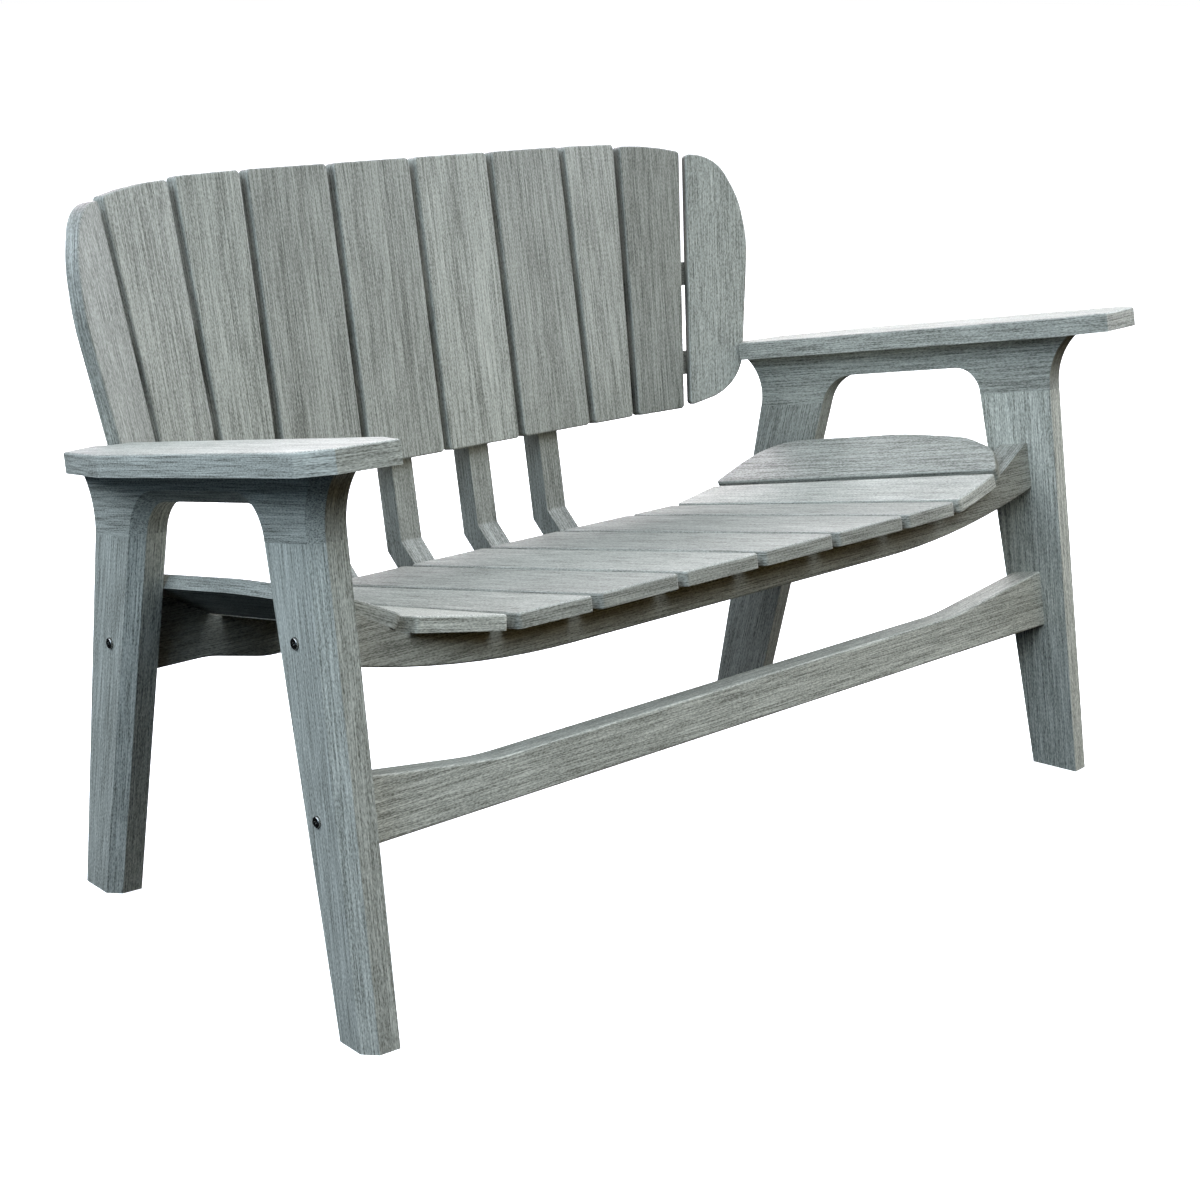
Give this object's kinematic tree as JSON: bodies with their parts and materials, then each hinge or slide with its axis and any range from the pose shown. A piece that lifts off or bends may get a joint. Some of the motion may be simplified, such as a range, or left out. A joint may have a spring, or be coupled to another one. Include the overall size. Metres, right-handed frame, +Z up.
{
  "type": "patio loveseat",
  "caption": "Slatted outdoor loveseat in grey wood-grained plastic lumber: fanned back, bucket seat, flat arms on splayed leg frames joined by shaped rails.",
  "frame": {"origin": "on the floor under the middle of the overall bounding box", "axes": "+X across the seat to the viewer's right, +Y from front to back, +Z up"},
  "size_m": [1.5792, 0.806, 0.9404],
  "materials": {
    "frame_lumber": "matte, fine brushed wood grain",
    "slat_lumber": "matte, fine brushed wood grain",
    "rail_lumber": "matte, fine brushed wood grain",
    "steel": "satin stainless"
  },
  "bodies": {
    "root": {"left_front_leg": "frame_lumber", "left_rear_leg": "frame_lumber", "left_arm_arch": "frame_lumber", "left_arm": "frame_lumber", "right_front_leg": "frame_lumber", "right_rear_leg": "frame_lumber", "right_arm_arch": "frame_lumber", "right_arm": "frame_lumber", "seat_slat_01": "slat_lumber", "seat_slat_02": "slat_lumber", "seat_slat_03": "slat_lumber", "seat_slat_04": "slat_lumber", "seat_slat_05": "slat_lumber", "seat_slat_06": "slat_lumber", "seat_slat_07": "slat_lumber", "seat_slat_08": "slat_lumber", "seat_slat_09": "slat_lumber", "seat_slat_10": "slat_lumber", "back_slat_01": "slat_lumber", "back_slat_02": "slat_lumber", "back_slat_03": "slat_lumber", "back_slat_04": "slat_lumber", "back_slat_05": "slat_lumber", "back_slat_06": "slat_lumber", "back_slat_07": "slat_lumber", "back_slat_08": "slat_lumber", "back_slat_09": "slat_lumber", "back_slat_10": "slat_lumber", "front_seat_rail": "rail_lumber", "rear_seat_rail": "rail_lumber", "front_stretcher": "rail_lumber", "upper_back_rail": "rail_lumber", "lower_back_rail": "rail_lumber", "back_upright_1": "rail_lumber", "back_upright_2": "rail_lumber", "back_upright_3": "rail_lumber", "back_upright_4": "rail_lumber", "frame_bolts": "steel", "barrel_nuts": "steel", "leg_dowels": "steel", "arm_screws": "steel", "seat_slat_screws": "steel", "back_slat_screws": "steel", "lap_screws": "steel", "foot_screws": "steel"}
  },
  "joints": []
}
